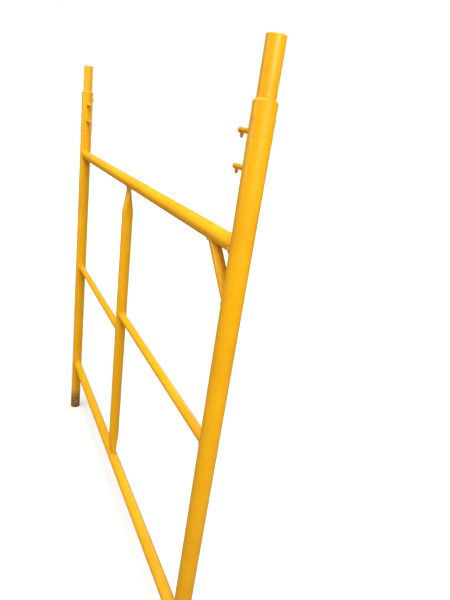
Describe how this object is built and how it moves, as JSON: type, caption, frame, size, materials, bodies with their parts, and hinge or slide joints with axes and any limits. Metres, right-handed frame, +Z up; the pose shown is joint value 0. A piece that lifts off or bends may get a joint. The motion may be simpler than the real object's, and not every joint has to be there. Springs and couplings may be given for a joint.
{
  "type": "scaffold frame section",
  "caption": "Welded steel tube ladder frame for scaffolding, with coupling pins, open feet, a centre upright, staggered mid rails, a knee brace and brace studs with drop latches.",
  "frame": {"origin": "centre of the line joining the two feet, at the level the feet stand on", "axes": "+X across the frame towards the post with the knee brace, +Y square to the frame, +Z up"},
  "size_m": [1.6206, 0.0529, 1.81],
  "materials": {
    "enamel": "gloss enamel, worn",
    "latch_enamel": "gloss enamel, worn"
  },
  "bodies": {
    "frame": {"knee_post": "enamel", "plain_post": "enamel", "top_bar": "enamel", "bottom_bar": "enamel", "centre_upright": "enamel", "mid_rail_knee": "enamel", "mid_rail_plain": "enamel", "knee_brace": "enamel", "coupling_pin_knee": "enamel", "coupling_pin_plain": "enamel", "pin_rivet_knee": "enamel", "pin_rivet_plain": "enamel", "pin_bead_knee": "enamel", "pin_bead_plain": "enamel", "stud_knee_upper": "enamel", "stud_knee_lower": "enamel", "stud_plain_upper": "enamel", "stud_plain_lower": "enamel", "latch_pin_knee_upper": "enamel", "latch_pin_knee_lower": "enamel", "latch_pin_plain_upper": "enamel", "latch_pin_plain_lower": "enamel", "top_bar_beads": "enamel", "bottom_bar_beads": "enamel", "mid_rail_beads_knee": "enamel", "mid_rail_beads_plain": "enamel", "stud_beads_knee": "enamel", "stud_beads_plain": "enamel", "knee_beads": "enamel", "upright_beads": "enamel"},
    "latch_knee_upper": {"latch_knee_upper": "latch_enamel"},
    "latch_knee_lower": {"latch_knee_lower": "latch_enamel"},
    "latch_plain_upper": {"latch_plain_upper": "latch_enamel"},
    "latch_plain_lower": {"latch_plain_lower": "latch_enamel"}
  },
  "joints": [
    {"name": "latch_swing_knee_upper", "type": "hinge", "parent": "frame", "child": "latch_knee_upper", "pos_m": [0.7154, 0, 1.647], "axis": [0, -1, 0], "range_deg": [-15, 90]},
    {"name": "latch_swing_knee_lower", "type": "hinge", "parent": "frame", "child": "latch_knee_lower", "pos_m": [0.7154, 0, 1.577], "axis": [0, -1, 0], "range_deg": [-15, 90]},
    {"name": "latch_swing_plain_upper", "type": "hinge", "parent": "frame", "child": "latch_plain_upper", "pos_m": [-0.7154, 0, 1.647], "axis": [0, 1, 0], "range_deg": [-15, 90]},
    {"name": "latch_swing_plain_lower", "type": "hinge", "parent": "frame", "child": "latch_plain_lower", "pos_m": [-0.7154, 0, 1.577], "axis": [0, 1, 0], "range_deg": [-15, 90]}
  ]
}
